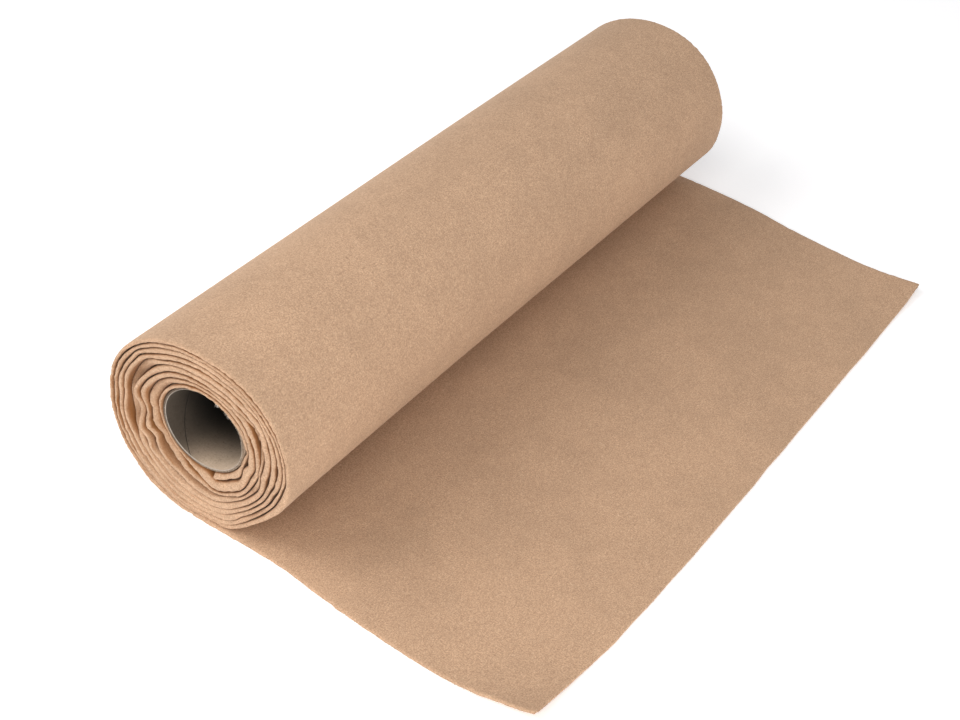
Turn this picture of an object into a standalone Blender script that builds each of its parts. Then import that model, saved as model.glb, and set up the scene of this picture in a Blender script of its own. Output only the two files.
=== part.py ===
"""Roll of felt on a cardboard core, with its last stretch lying out flat as a loose end.

The roll's axis runs along Y. Seen along +Y the felt comes in along the floor from +X, passes
under the roll, climbs its left side, and winds inwards clockwise to the core.
All sizes are in metres, and the part stands on z = 0.
"""
import bmesh
import bpy
from math import cos, hypot, pi, radians, sin

# Felt
FELT_WIDTH = 0.410
FELT_THICK = 0.0019
TOUCH_GAP = 0.0003

# Wound roll
ROLL_HALF_WIDTH = 0.0511
ROLL_TOP = 0.1009
ROLL_MID_Z = 0.0507
FLAT_SPOT = 0.0006              # how much of the roll's round is pressed flat below
STEPS_PER_TURN = 36
FULL_TURNS = 8
LAST_STEPS = 27                 # steps past the last full turn, to the felt's inner end
START_ANGLE = radians(235)      # where the loose end leaves the roll, from +X through +Z
END_SKEW = 0.06                 # how far the cut ends lean, in y for each x
GROOVE_DEPTH = 0.0045           # how far in the gaps between the turns show at both ends
TIGHT_PITCH = 0.00205           # from one turn to the next where they lie close

# Cardboard core
CORE_INNER_RADIUS = 0.0219
CORE_WALL = 0.0013
CORE_OFFSET = 0.0037            # core's axis to the right of the roll's
CORE_Z = 0.0583
CORE_SIDES = 48

# Loose end
LOOSE_REACH = 0.1988            # roll's axis to the furthest point of the free edge
FLOOR_ROWS = 17
WIDTH_COLUMNS = 28

ROLL_X = (ROLL_HALF_WIDTH - LOOSE_REACH) / 2
CORE_X = ROLL_X + CORE_OFFSET
BORE_RADIUS = CORE_INNER_RADIUS + CORE_WALL + TOUCH_GAP

# Where spare room gathers between turns: the angle and half its reach in degrees, the number
# of turns outside the pocket, and its share of the spare room there.
POCKETS = [
    dict(angle=158, reach=50, turns_outside=4, share=0.62),
    dict(angle=200, reach=28, turns_outside=5, share=0.30),
    dict(angle=-8, reach=24, turns_outside=3, share=0.34),
    dict(angle=12, reach=26, turns_outside=6, share=0.30),
]

# How far each cut edge of the loose end stands out past half the felt's width, by the
# distance from the roll's axis.
SIDE_EDGES = [
    dict(at=-0.053, near=0.0032, far=-0.0032),
    dict(at=0.005, near=0.0006, far=0.0014),
    dict(at=0.050, near=-0.0002, far=0.0044),
    dict(at=0.082, near=0.0026, far=0.0040),
    dict(at=0.112, near=0.0045, far=0.0014),
    dict(at=0.155, near=0.0038, far=-0.0008),
    dict(at=0.198, near=-0.0004, far=-0.0012),
]

# How far the free edge falls short of its furthest point, across the felt's width.
FREE_EDGE = [
    dict(across=-1.0, short=0.0032),
    dict(across=-0.92, short=0.0030),
    dict(across=-0.72, short=0.0014),
    dict(across=-0.40, short=0.0003),
    dict(across=0.15, short=0.0000),
    dict(across=0.60, short=0.0009),
    dict(across=0.90, short=0.0014),
    dict(across=1.0, short=0.0022),
]

# Corners of the free edge that curl up: which side, how high, and how far the curl reaches.
CURLS = [
    dict(side=-1, height=0.0085, reach=0.060),
    dict(side=1, height=0.0040, reach=0.048),
]


def smooth_step(t):
    """Rise from 0 to 1 with level ends."""
    t = min(1.0, max(0.0, t))
    return t * t * (3 - 2 * t)


def read_table(rows, key, at, column):
    """Value of a column at a place between the rows, on a smooth curve through them."""
    at = min(rows[-1][key], max(rows[0][key], at))
    index = next(i for i in range(len(rows) - 1) if at <= rows[i + 1][key])

    def slope(i):
        low, high = rows[max(0, i - 1)], rows[min(len(rows) - 1, i + 1)]
        return (high[column] - low[column]) / (high[key] - low[key])

    start, end = rows[index], rows[index + 1]
    span = end[key] - start[key]
    t = (at - start[key]) / span
    value = (2 * t**3 - 3 * t**2 + 1) * start[column] + (3 * t**2 - 2 * t**3) * end[column]
    return value + span * ((t**3 - 2 * t**2 + t) * slope(index) + (t**3 - t**2) * slope(index + 1))


def outline_point(angle):
    """Point of the roll's outline, with the loose end counted in at the lower left."""
    x = ROLL_X + ROLL_HALF_WIDTH * cos(angle)
    if sin(angle) >= 0:
        return x, ROLL_MID_Z + (ROLL_TOP - ROLL_MID_Z) * sin(angle)
    ground = 0.0 if cos(angle) < -1e-6 else FELT_THICK + TOUCH_GAP
    drop = ROLL_MID_Z - ground + FLAT_SPOT
    return x, max(ground, ROLL_MID_Z + drop * sin(angle))


def spoke(angle):
    """Straight line from the outline in to the bore: its start, its direction, its length."""
    x, z = outline_point(angle)
    to_x = CORE_X + BORE_RADIUS * cos(angle) - x
    to_z = CORE_Z + BORE_RADIUS * sin(angle) - z
    length = hypot(to_x, to_z)
    return x, z, to_x / length, to_z / length, length


def along_spoke(angle, depth):
    """Point at a depth in from the outline."""
    x, z, dir_x, dir_z, _ = spoke(angle)
    return x + dir_x * depth, z + dir_z * depth


def step_angle(step):
    """Angle of a winding step; the felt winds clockwise."""
    return START_ANGLE - 2 * pi * step / STEPS_PER_TURN


def pocket_shift(angle, turn, gaps, spare):
    """How much further in a turn lies because the pockets take their share of the room."""
    shift = 0.0
    for pocket in POCKETS:
        off = (angle - radians(pocket["angle"]) + pi) % (2 * pi) - pi
        strength = 1 - smooth_step(abs(off) / radians(pocket["reach"]))
        inside = 1.0 if turn >= pocket["turns_outside"] else 0.0
        shift += strength * pocket["share"] * spare * (inside - turn / gaps)
    return shift


def turn_depth(step):
    """Depth of the felt's outer face at a winding step."""
    turn, part = divmod(step, STEPS_PER_TURN)
    angle = step_angle(part)
    length = spoke(angle)[4]
    start_pitch = (spoke(START_ANGLE)[4] - FELT_THICK) / FULL_TURNS
    end_pitch = (spoke(step_angle(LAST_STEPS))[4] - FELT_THICK) / FULL_TURNS

    covered = (-pi / 2 - angle) / (-pi / 2 - (START_ANGLE - 2 * pi))
    inset = 0.0
    if covered > 0:
        inset = FELT_THICK + TOUCH_GAP
        inset += (start_pitch - inset) * min(1.0, covered)

    gaps = FULL_TURNS
    lifted = 0.0
    if part >= LAST_STEPS:
        gaps = FULL_TURNS - 1
        lifted = end_pitch * (1 - smooth_step((part - LAST_STEPS) / (STEPS_PER_TURN - LAST_STEPS)))
    pitch = (length - inset - FELT_THICK - lifted) / gaps
    spare = (pitch - TIGHT_PITCH) * gaps
    return inset + pitch * turn + pocket_shift(angle, turn, gaps, spare)


def end_y(x, side):
    """Where the felt and the core are cut off; side is -1 for near and 1 for far."""
    return side * FELT_WIDTH / 2 + END_SKEW * (x - ROLL_X)


def make_material(name, color, roughness):
    material = bpy.data.materials.new(name)
    material.use_nodes = True
    shader = material.node_tree.nodes["Principled BSDF"]
    shader.inputs["Base Color"].default_value = (*color, 1.0)
    shader.inputs["Roughness"].default_value = roughness
    shader.inputs["Metallic"].default_value = 0.0
    return material


def finish_object(name, bm, material, sharp_angle):
    """Turn a bmesh into a shaded object with its faces pointing out."""
    bmesh.ops.recalc_face_normals(bm, faces=bm.faces)
    mesh = bpy.data.meshes.new(name)
    bm.to_mesh(mesh)
    bm.free()
    mesh.materials.append(material)
    mesh.shade_smooth()
    mesh.set_sharp_from_angle(angle=radians(sharp_angle))
    obj = bpy.data.objects.new(name, mesh)
    bpy.context.collection.objects.link(obj)
    return obj


def felt_roll(material):
    """The wound felt, solid through its length, with its turns parted at both ends."""
    bm = bmesh.new()
    last = FULL_TURNS * STEPS_PER_TURN + LAST_STEPS
    turn = STEPS_PER_TURN
    ends = []
    for side in (-1, 1):
        outer, inner, floor_outer, floor_inner = [], [], [], []
        for step in range(last + 1):
            angle = step_angle(step)
            depth = turn_depth(step)
            x, z = along_spoke(angle, depth)
            outer.append(bm.verts.new((x, end_y(x, side), z)))
            x, z = along_spoke(angle, depth + FELT_THICK)
            inner.append(bm.verts.new((x, end_y(x, side), z)))
        for step in range(last + 1 - turn):
            for vert, floor in ((inner[step], floor_outer), (outer[step + turn], floor_inner)):
                x, y, z = vert.co
                floor.append(bm.verts.new((x, y - side * GROOVE_DEPTH, z)))
        for step in range(last):
            bm.faces.new((outer[step], outer[step + 1], inner[step + 1], inner[step]))
        for step in range(last - turn):
            ahead = step + turn
            for one, two in ((inner[step:step + 2], floor_outer[step:step + 2]),
                             (floor_outer[step:step + 2], floor_inner[step:step + 2]),
                             (floor_inner[step:step + 2], outer[ahead:ahead + 2])):
                bm.faces.new((one[0], one[1], two[1], two[0]))
        ends.append((outer, inner, floor_outer, floor_inner))

    near, far = ends
    for step in range(turn):
        bm.faces.new((near[0][step], near[0][step + 1], far[0][step + 1], far[0][step]))
    for step in range(last - turn, last):
        bm.faces.new((near[1][step], near[1][step + 1], far[1][step + 1], far[1][step]))

    outer_step = [[end[0][0], end[1][0], end[2][0], end[3][0], end[0][turn]] for end in ends]
    inner_step = [[end[1][last], end[0][last], end[3][-1], end[2][-1], end[1][last - turn]]
                  for end in ends]
    for near_edge, far_edge in (outer_step, inner_step):
        bm.faces.new(near_edge + far_edge[::-1])
    return finish_object("felt_roll", bm, material, 40)


def core_tube(material):
    """Cardboard tube that the felt is wound on, with its ends leaning as the felt's do."""
    bm = bmesh.new()
    rings = []
    for radius, side in ((CORE_INNER_RADIUS, -1), (CORE_INNER_RADIUS + CORE_WALL, -1),
                         (CORE_INNER_RADIUS + CORE_WALL, 1), (CORE_INNER_RADIUS, 1)):
        ring = []
        for index in range(CORE_SIDES):
            angle = 2 * pi * index / CORE_SIDES
            x = CORE_X + radius * cos(angle)
            ring.append(bm.verts.new((x, end_y(x, side), CORE_Z + radius * sin(angle))))
        rings.append(ring)
    for ring, following in zip(rings, rings[1:] + rings[:1]):
        for index in range(CORE_SIDES):
            after = (index + 1) % CORE_SIDES
            bm.faces.new((ring[index], ring[after], following[after], following[index]))
    return finish_object("core_tube", bm, material, 40)


def curl_height(reach_left, across_left, side):
    """Lift of the loose end at a point, by its distance from the free edge and side edge."""
    height = 0.0
    for curl in CURLS:
        if curl["side"] == side:
            away = (reach_left + across_left) / curl["reach"]
            height += curl["height"] * max(0.0, 1 - away) ** 2
    return height


def sheet_sections():
    """Rows of the loose end from the roll to the free edge: underside and top, by share."""
    rows = []
    first = START_ANGLE + 1.4 * TOUCH_GAP / ROLL_HALF_WIDTH
    angles = [first] + [START_ANGLE + 2 * pi * step / STEPS_PER_TURN for step in (1, 2, 3)]
    for angle in angles:
        rows.append(dict(under=along_spoke(angle, 0.0), top=along_spoke(angle, FELT_THICK), share=None))
    for row in range(FLOOR_ROWS + 1):
        rows.append(dict(under=None, top=None, share=row / FLOOR_ROWS))
    return rows


def sheet_point(row, level, across):
    """Point of the loose end on its underside or top, at a place across the felt's width."""
    side = -1 if across < 0 else 1
    column = "near" if side < 0 else "far"
    lift = 0.0
    if row["share"] is None:
        x, z = row[level]
    else:
        reach = LOOSE_REACH - read_table(FREE_EDGE, "across", across, "short")
        x = ROLL_X + reach * row["share"]
        z = FELT_THICK if level == "top" else 0.0
        half = FELT_WIDTH / 2
        lift = curl_height(reach * (1 - row["share"]), half * (1 - abs(across)), side)
    bulge = read_table(SIDE_EDGES, "at", x - ROLL_X, column)
    return x, across * (FELT_WIDTH / 2 + bulge), z + lift


def loose_end(material):
    """The felt's free stretch, from the roll's lower left, under it and out over the floor."""
    bm = bmesh.new()
    rows = sheet_sections()
    columns = [2 * index / WIDTH_COLUMNS - 1 for index in range(WIDTH_COLUMNS + 1)]
    levels = {}
    for level in ("under", "top"):
        levels[level] = [[bm.verts.new(sheet_point(row, level, across)) for across in columns]
                         for row in rows]
        for one, two in zip(levels[level], levels[level][1:]):
            for index in range(WIDTH_COLUMNS):
                bm.faces.new((one[index], one[index + 1], two[index + 1], two[index]))
    rims = {}
    for level, grid in levels.items():
        start = grid[0]
        far_edge = [row[-1] for row in grid[1:]]
        free_edge = grid[-1][-2::-1]
        near_edge = [row[0] for row in grid[-2:0:-1]]
        rims[level] = start + far_edge + free_edge + near_edge
    count = len(rims["top"])
    for index in range(count):
        after = (index + 1) % count
        bm.faces.new((rims["top"][index], rims["top"][after],
                      rims["under"][after], rims["under"][index]))
    return finish_object("loose_end", bm, material, 40)


for old in list(bpy.data.objects):
    bpy.data.objects.remove(old, do_unlink=True)

felt = make_material("beige felt", (0.50, 0.33, 0.22), 0.95)
board = make_material("grey brown cardboard", (0.27, 0.20, 0.14), 0.85)
felt_roll(felt)
loose_end(felt)
core_tube(board)
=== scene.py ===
# Roll of beige craft felt on a cardboard core, with its loose end lying out flat.
import bmesh
import bpy
import random
from math import cos, degrees, hypot, pi, radians, sin
from mathutils import Matrix, Vector, noise


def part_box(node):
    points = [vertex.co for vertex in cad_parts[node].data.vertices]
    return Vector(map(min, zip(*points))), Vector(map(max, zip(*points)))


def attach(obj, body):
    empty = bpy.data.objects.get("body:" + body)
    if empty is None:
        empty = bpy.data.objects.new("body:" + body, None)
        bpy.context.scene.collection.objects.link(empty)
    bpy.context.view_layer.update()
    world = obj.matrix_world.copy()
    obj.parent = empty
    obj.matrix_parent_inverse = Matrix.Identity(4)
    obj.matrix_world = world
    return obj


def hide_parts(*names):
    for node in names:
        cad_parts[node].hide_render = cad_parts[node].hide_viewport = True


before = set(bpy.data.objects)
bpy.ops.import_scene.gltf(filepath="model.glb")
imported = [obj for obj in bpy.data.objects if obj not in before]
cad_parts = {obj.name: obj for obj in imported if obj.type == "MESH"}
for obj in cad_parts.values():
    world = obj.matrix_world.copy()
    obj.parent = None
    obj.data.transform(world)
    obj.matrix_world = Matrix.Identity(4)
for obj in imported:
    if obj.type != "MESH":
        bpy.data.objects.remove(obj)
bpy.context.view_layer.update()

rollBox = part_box("felt_roll")
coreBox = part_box("core_tube")
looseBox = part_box("loose_end")
bodyName = "root"
mm = 0.001


# small helpers

def smoothStep(t):
    t = min(1.0, max(0.0, t))
    return t * t * (3 - 2 * t)


def mix(one, two, t):
    return one + (two - one) * t


def readTable(rows, at, column=1):
    # value on a smooth curve through the rows, each of which starts with its place
    at = min(rows[-1][0], max(rows[0][0], at))
    index = next(i for i in range(len(rows) - 1) if at <= rows[i + 1][0])

    def slope(i):
        low, high = rows[max(0, i - 1)], rows[min(len(rows) - 1, i + 1)]
        return (high[column] - low[column]) / (high[0] - low[0])

    start, end = rows[index], rows[index + 1]
    span = end[0] - start[0]
    t = (at - start[0]) / span
    value = (2 * t**3 - 3 * t**2 + 1) * start[column] + (3 * t**2 - 2 * t**3) * end[column]
    return value + span * ((t**3 - 2 * t**2 + t) * slope(index) + (t**3 - t**2) * slope(index + 1))


def rough(x, y, z):
    return noise.noise(Vector((x, y, z)))


def wander(place, seed, size, reach):
    # slow unevenness along the cloth
    return size * rough(place / reach, seed * 7.3, seed * 1.7)


def linkObject(name, data):
    obj = bpy.data.objects.new(name, data)
    bpy.context.collection.objects.link(obj)
    return obj


def linkMesh(name, verts, faces, material):
    mesh = bpy.data.meshes.new(name)
    mesh.from_pydata(verts, [], faces)
    mesh.materials.append(material)
    mesh.update()
    return linkObject(name, mesh)


def faceOutwards(obj):
    bm = bmesh.new()
    bm.from_mesh(obj.data)
    bmesh.ops.recalc_face_normals(bm, faces=bm.faces)
    bm.to_mesh(obj.data)
    bm.free()
    obj.data.shade_smooth()


# shader nodes: a number or a colour is set, and a socket is linked

def feed(tree, value, socket):
    if isinstance(value, (int, float)):
        socket.default_value = value
    elif isinstance(value, tuple):
        socket.default_value = (*value, 1.0) if socket.type == "RGBA" else value
    else:
        tree.links.new(value, socket)


def feedAll(tree, node, inputs):
    for label, value in inputs.items():
        feed(tree, value, node.inputs[label])
    return node.outputs


def addNode(tree, kind, inputs):
    return feedAll(tree, tree.nodes.new(kind), inputs)


def addMath(tree, kind, *values):
    node = tree.nodes.new("ShaderNodeMath")
    node.operation = kind
    return feedAll(tree, node, dict(enumerate(values)))[0]


def plus(tree, one, two):
    return addMath(tree, "ADD", one, two)


def minus(tree, one, two):
    return addMath(tree, "SUBTRACT", one, two)


def times(tree, one, two):
    return addMath(tree, "MULTIPLY", one, two)


def addRange(tree, value, low, high, toLow=0.0, toHigh=1.0):
    node = tree.nodes.new("ShaderNodeMapRange")
    node.interpolation_type = "SMOOTHSTEP"
    return feedAll(tree, node, {"Value": value, "From Min": low, "From Max": high,
                                "To Min": toLow, "To Max": toHigh})["Result"]


def addNoise(tree, vector, scale, detail=2.0, rough=0.55, distortion=0.0):
    return addNode(tree, "ShaderNodeTexNoise", {"Vector": vector, "Scale": scale, "Detail": detail,
                                                "Roughness": rough, "Distortion": distortion})["Fac"]


def addStretch(tree, vector, scale):
    node = tree.nodes.new("ShaderNodeVectorMath")
    node.operation = "MULTIPLY"
    return feedAll(tree, node, {0: vector, 1: scale})["Vector"]


def addMix(tree, share, one, two, blend="MIX"):
    node = tree.nodes.new("ShaderNodeMix")
    node.data_type = "RGBA"
    node.blend_type = blend
    return feedAll(tree, node, {0: share, 6: one, 7: two})[2]


def dimColor(tree, color, share):
    grey = addNode(tree, "ShaderNodeCombineColor", {"Red": share, "Green": share, "Blue": share})
    return addMix(tree, 1.0, color, grey["Color"], "MULTIPLY")


def objectPlace(tree):
    return tree.nodes.new("ShaderNodeTexCoord").outputs["Object"]


def placeOver(tree, size, unit):
    # the place on the object times a unit and over a size
    node = tree.nodes.new("ShaderNodeVectorMath")
    node.operation = "SCALE"
    share = addMath(tree, "DIVIDE", unit, size)
    return feedAll(tree, node, {0: objectPlace(tree), "Scale": share})["Vector"]


def newGroup(name, inputs, outputs):
    tree = bpy.data.node_groups.new(name, "ShaderNodeTree")
    for label, value in inputs.items():
        socket = tree.interface.new_socket(name=label, in_out="INPUT", socket_type="NodeSocketFloat")
        socket.default_value = value
    for label in outputs:
        tree.interface.new_socket(name=label, in_out="OUTPUT", socket_type="NodeSocketFloat")
    return tree, tree.nodes.new("NodeGroupInput").outputs, tree.nodes.new("NodeGroupOutput")


def makeFibreGroup():
    # pressed fibres: fine grain, short streaks both ways and stray flecks, sizes in millimetres
    tree, given, out = newGroup("pressedFibres", {"Size": 1.0, "Streaks": 0.5},
                                ["Grain", "Light Flecks", "Dark Flecks", "Height"])
    place = placeOver(tree, given["Size"], 1000.0)
    grain = addNoise(tree, place, 1.15, 3.0, 0.62)
    along = addNoise(tree, addStretch(tree, place, (1.9, 0.45, 1.9)), 0.9, 2.0, 0.6, 0.9)
    around = addNoise(tree, addStretch(tree, place, (0.5, 2.1, 0.5)), 0.9, 2.0, 0.6, 0.9)
    streaks = times(tree, plus(tree, along, around), 0.5)
    height = addNode(tree, "ShaderNodeMix", {0: given["Streaks"], 2: grain, 3: streaks})[0]
    light = addNoise(tree, addStretch(tree, place, (1.0, 0.7, 1.0)), 1.5, 1.0, 0.5, 1.2)
    dark = addNoise(tree, addStretch(tree, place, (0.75, 1.1, 0.75)), 1.3, 1.0, 0.5, 1.0)
    feedAll(tree, out, {"Grain": addRange(tree, height, 0.33, 0.67),
                        "Light Flecks": addRange(tree, light, 0.63, 0.74),
                        "Dark Flecks": addRange(tree, dark, 0.36, 0.27),
                        "Height": height})
    return tree


def makeMottleGroup():
    # slow changes of shade, in metres
    tree, given, out = newGroup("slowMottle", {"Reach": 0.03}, ["Shade"])
    place = placeOver(tree, given["Reach"], 1.0)
    wide = times(tree, addNoise(tree, place, 0.5, 2.0, 0.5), 0.6)
    tight = times(tree, addNoise(tree, place, 2.7, 2.0, 0.5), 0.4)
    feedAll(tree, out, {"Shade": addRange(tree, plus(tree, wide, tight), 0.3, 0.7)})
    return tree


fibreGroup = makeFibreGroup()
mottleGroup = makeMottleGroup()


def placeGroup(tree, group, **values):
    node = tree.nodes.new("ShaderNodeGroup")
    node.node_tree = group
    return feedAll(tree, node, values)


def newMaterial(name, sockets):
    material = bpy.data.materials.new(name)
    material.use_nodes = True
    shader = material.node_tree.nodes["Principled BSDF"]
    feedAll(material.node_tree, shader, sockets)
    return material, material.node_tree, shader


def addBump(tree, shader, height, strength, distance):
    bump = addNode(tree, "ShaderNodeBump", {"Strength": strength, "Distance": distance, "Height": height})
    feed(tree, bump["Normal"], shader.inputs["Normal"])


feltLook = {
    "dark": (0.350, 0.212, 0.130),
    "light": (0.640, 0.425, 0.275),
    "lightFleck": (0.86, 0.66, 0.47),
    "darkFleck": (0.235, 0.125, 0.068),
    "fleckShare": 0.46,
    "grainSize": 0.78,
    "streaks": 0.45,
    "mottleReach": 0.030,
    "mottle": 0.05,
    "paintedShadeShare": 0.90,           # how far the painted shade between the turns darkens the felt, and to what
    "paintedShadeColor": (0.220, 0.076, 0.012),
    "bump": 0.50,
    "bumpDepth": 0.0004,
    "sheenTint": (1.0, 0.86, 0.7),
}


def makeFelt(name, look, lift=1.0):
    material, tree, shader = newMaterial(name, {
        "Roughness": 0.95, "Specular IOR Level": 0.15,
        "Sheen Weight": 0.20, "Sheen Roughness": 0.5, "Sheen Tint": look["sheenTint"]})
    fibres = placeGroup(tree, fibreGroup, Size=look["grainSize"], Streaks=look["streaks"])
    shade = placeGroup(tree, mottleGroup, Reach=look["mottleReach"])["Shade"]
    dark, light = (tuple(min(1.0, c * lift) for c in look[end]) for end in ("dark", "light"))
    color = addMix(tree, fibres["Grain"], dark, light)
    for flecks, fleckColor in (("Light Flecks", "lightFleck"), ("Dark Flecks", "darkFleck")):
        color = addMix(tree, times(tree, fibres[flecks], look["fleckShare"]), color, look[fleckColor])
    mottled = addRange(tree, shade, 0.0, 1.0, 1 - look["mottle"], 1 + look["mottle"])
    color = dimColor(tree, color, mottled)
    # painted shade between the turns, on the rims' sides and in recessed ends, from a value stored on the
    # felt's points
    shadeAttribute = tree.nodes.new("ShaderNodeAttribute")
    shadeAttribute.attribute_name = "paintedGapShade"
    paintedGapShade = times(tree, shadeAttribute.outputs["Fac"], look["paintedShadeShare"])
    feed(tree, addMix(tree, paintedGapShade, color, look["paintedShadeColor"]), shader.inputs["Base Color"])
    addBump(tree, shader, fibres["Height"], look["bump"], look["bumpDepth"])
    return material


# the winding, in metres: where each turn of the felt lies in the roll's end view

winding = {
    "thick": 0.0019,
    "tightGap": 0.00010,         # air between turns that lie close
    "nearGap": 0.00046,          # the same where the near end's turns stand apart
    "nearThinnest": 0.0012,      # least that a turn fills there, and least space inside the last
    "boreGap": 0.0001,
    "recessSwell": 0.6,          # how much more a turn fills where its end sits this far back
    "recessDeep": 0.0012,
    "mergedAt": 262,             # angle of the roll's near end where the turns run together
    "mergedReach": 66,
    "mergedTurns": 6.4,          # how many of them do
    "rollX": (rollBox[0].x + rollBox[1].x) / 2,
    "halfWidth": 0.0511,
    "top": 0.1009,
    "midZ": 0.0507,
    "flatSpot": 0.0006,
    "restGap": 0.0003,
    "startAngle": 235,           # where the loose end leaves the roll
    "fullTurns": 8,
    "stepsPerTurn": 288,
    "lastSteps": 248,
    "coreX": (coreBox[0].x + coreBox[1].x) / 2,
    "coreZ": (coreBox[0].z + coreBox[1].z) / 2,
    "boreRadius": 0.0235,
    "settleRounds": 3,
    "mostStretch": 1.6,
}

# The near end's turns as the photo shows them. Each row is one gap between turns, from the
# outermost inwards: an angle in degrees, then how far in the gap lies there, in thousandths of
# the way from the roll's outline to the core's bore.
nearGaps = [
    {235: 70, 210: 60, 180: 60, 172: 45, 165: 30, 157: 0, 150: -18, 135: -20, 120: -10, 105: 10, 90: 15,
     75: 0, 60: -10, 38: 0, 20: 12, 8: 35, 0: 62, -7: 105, -15: 138, -22: 157, -30: 175, -40: 180,
     -47: 175, -55: 153, -61: 126, -65: 100, -70: 88, -76: 100, -90: 125, -108: 132},
    {235: 140, 195: 125, 184: 135, 176: 150, 170: 118, 165: 98, 150: 88, 140: 78, 135: 66, 129: 78,
     120: 99, 108: 116, 97: 110, 90: 107, 75: 99, 62: 82, 48: 80, 35: 83, 27: 88, 20: 95, 15: 105,
     7: 125, 0: 142, -7: 173, -12: 204, -16: 232, -22: 240, -30: 255, -37: 270, -47: 262, -56: 243,
     -60: 212, -66: 175, -72: 160, -90: 180, -108: 200},
    {235: 225, 220: 228, 212: 238, 205: 224, 196: 208, 190: 220, 180: 248, 173: 262, 167: 235, 160: 198,
     150: 188, 143: 192, 136: 168, 131: 185, 126: 222, 120: 243, 113: 258, 105: 268, 97: 274, 75: 262,
     60: 225, 45: 165, 33: 160, 20: 200, 10: 235, 4: 262, -7: 285, -11: 305, -15: 325, -22: 335,
     -30: 340, -36: 350, -45: 348, -52: 337, -59: 320, -65: 292, -72: 270, -90: 275, -108: 300},
    {235: 330, 205: 330, 195: 322, 186: 335, 178: 352, 170: 338, 162: 300, 150: 291, 133: 293, 127: 320,
     121: 375, 115: 395, 105: 405, 90: 400, 75: 395, 60: 360, 52: 335, 45: 285, 38: 250, 30: 278,
     24: 318, 19: 342, 12: 365, 7: 383, 0: 407, -7: 428, -12: 438, -17: 430, -25: 420, -40: 423,
     -50: 415, -60: 395, -75: 360, -90: 365, -108: 400},
    {235: 440, 220: 445, 213: 490, 207: 462, 202: 430, 196: 470, 190: 515, 185: 532, 181: 525, 177: 490,
     172: 445, 165: 430, 158: 448, 152: 468, 145: 480, 130: 478, 120: 480, 112: 508, 105: 532, 99: 568,
     90: 578, 75: 580, 67: 570, 57: 535, 47: 500, 39: 468, 31: 458, 25: 488, 20: 510, 12: 525, 5: 542,
     -3: 575, -10: 587, -18: 550, -25: 525, -40: 530, -50: 522, -60: 505, -75: 470, -85: 485, -100: 535,
     -112: 568},
    {235: 565, 225: 568, 218: 605, 212: 645, 208: 630, 204: 578, 201: 565, 196: 600, 190: 650, 185: 672,
     180: 655, 174: 592, 168: 548, 163: 548, 156: 572, 148: 595, 140: 618, 130: 633, 120: 653, 110: 690,
     102: 722, 93: 739, 84: 745, 72: 735, 58: 680, 46: 600, 38: 565, 30: 600, 20: 630, 10: 640, 2: 630,
     -6: 610, -16: 622, -25: 633, -34: 620, -45: 592, -60: 600, -75: 620, -86: 670, -97: 710, -112: 742},
    {235: 748, 225: 760, 215: 785, 209: 782, 203: 735, 197: 710, 191: 755, 186: 770, 180: 762, 175: 725,
     168: 706, 160: 706, 150: 715, 140: 738, 130: 760, 120: 782, 108: 820, 90: 832, 72: 826, 58: 800,
     45: 765, 30: 768, 15: 760, 0: 742, -10: 715, -18: 738, -26: 738, -33: 712, -39: 688, -46: 675,
     -60: 676, -74: 668, -84: 740, -95: 845, -108: 920, -118: 945},
    {235: 945, 210: 945, 195: 938, 180: 926, 150: 922, 120: 922, 90: 922, 60: 915, 35: 885, 20: 872,
     7: 882, 0: 892, -8: 920, -16: 935, -24: 930, -31: 890, -38: 855, -45: 866, -52: 880, -60: 868,
     -67: 860, -75: 850},
]
# The most that a turn fills there, in millimetres, by the turns from the loose end.
nearFull = [
    (0, 1.9), (0.12, 3.8), (7.68, 3.8), (7.75, 6.6), (7.86, 7.2), (7.93, 8), (8, 5), (8.1, 3.8),
    (8.55, 3.8), (8.68, 4.6), (8.86, 4.6),
]
# How far the outer turn stands out from the roll's outline at the near end, in millimetres.
nearOutline = {
    235: 0, 185: 0, 173: 0.4, 162: 1.4, 150: 2.6, 135: 3, 120: 2.6, 105: 2, 90: 1.6, 75: 1.7, 60: 2,
    45: 2.1, 30: 1.7, 15: 1.2, 0: 0.8, -15: 0.2, -25: -0.9, -32: -2, -40: -2.6, -50: -2.8, -56: -2.1,
    -62: -1.3, -70: -0.4, -75: -1.2, -80: -2.05, -85: -2.2, -90: -2.2, -125: -2.5,
}
# Where gaps are wider than the rest: middle angle and half reach in degrees, how many turns lie
# outside, and the extra width in millimetres. Near end, roll's middle, far end.
nearWide = [
    (146, 24, 1, 0.25), (62, 40, 1, 0.1), (-8, 14, 1, 0.2), (-45, 20, 1, 0.2), (151, 15, 2, 0.45),
    (130, 7, 2, 0.15), (14, 14, 2, 0.3), (-18, 14, 2, 0.5), (-42, 14, 2, 0.25), (178, 12, 2, 0.3),
    (132, 12, 3, 0.2), (176, 30, 3, 0.35), (5, 9, 3, 1), (-14, 9, 3, 0.35), (-40, 12, 3, 0.2),
    (187, 13, 4, 1.1), (103, 12, 4, 0.25), (20, 14, 4, 0.5), (-10, 12, 4, 1), (100, 14, 5, 0.35),
    (34, 14, 5, 0.7), (2, 8, 5, 0.45), (214, 14, 6, 1), (192, 16, 6, 0.75), (158, 26, 6, 0.35),
    (96, 18, 6, 0.45), (40, 14, 6, 0.4), (-112, 24, 6, 0.35), (226, 30, 7, 1.7), (196, 22, 7, 1.1),
    (172, 20, 7, 0.45), (120, 26, 7, 0.3), (-110, 18, 7, 0.5), (205, 40, 8, 0.35), (14, 16, 8, 0.4),
    (-40, 12, 8, 0.45), (-56, 14, 8, 0.55),
]
bodyPockets = [
    (150, 40, 4, 0.9), (215, 36, 6, 0.8), (20, 34, 4, 0.7), (-50, 30, 7, 0.5),
]
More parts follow.
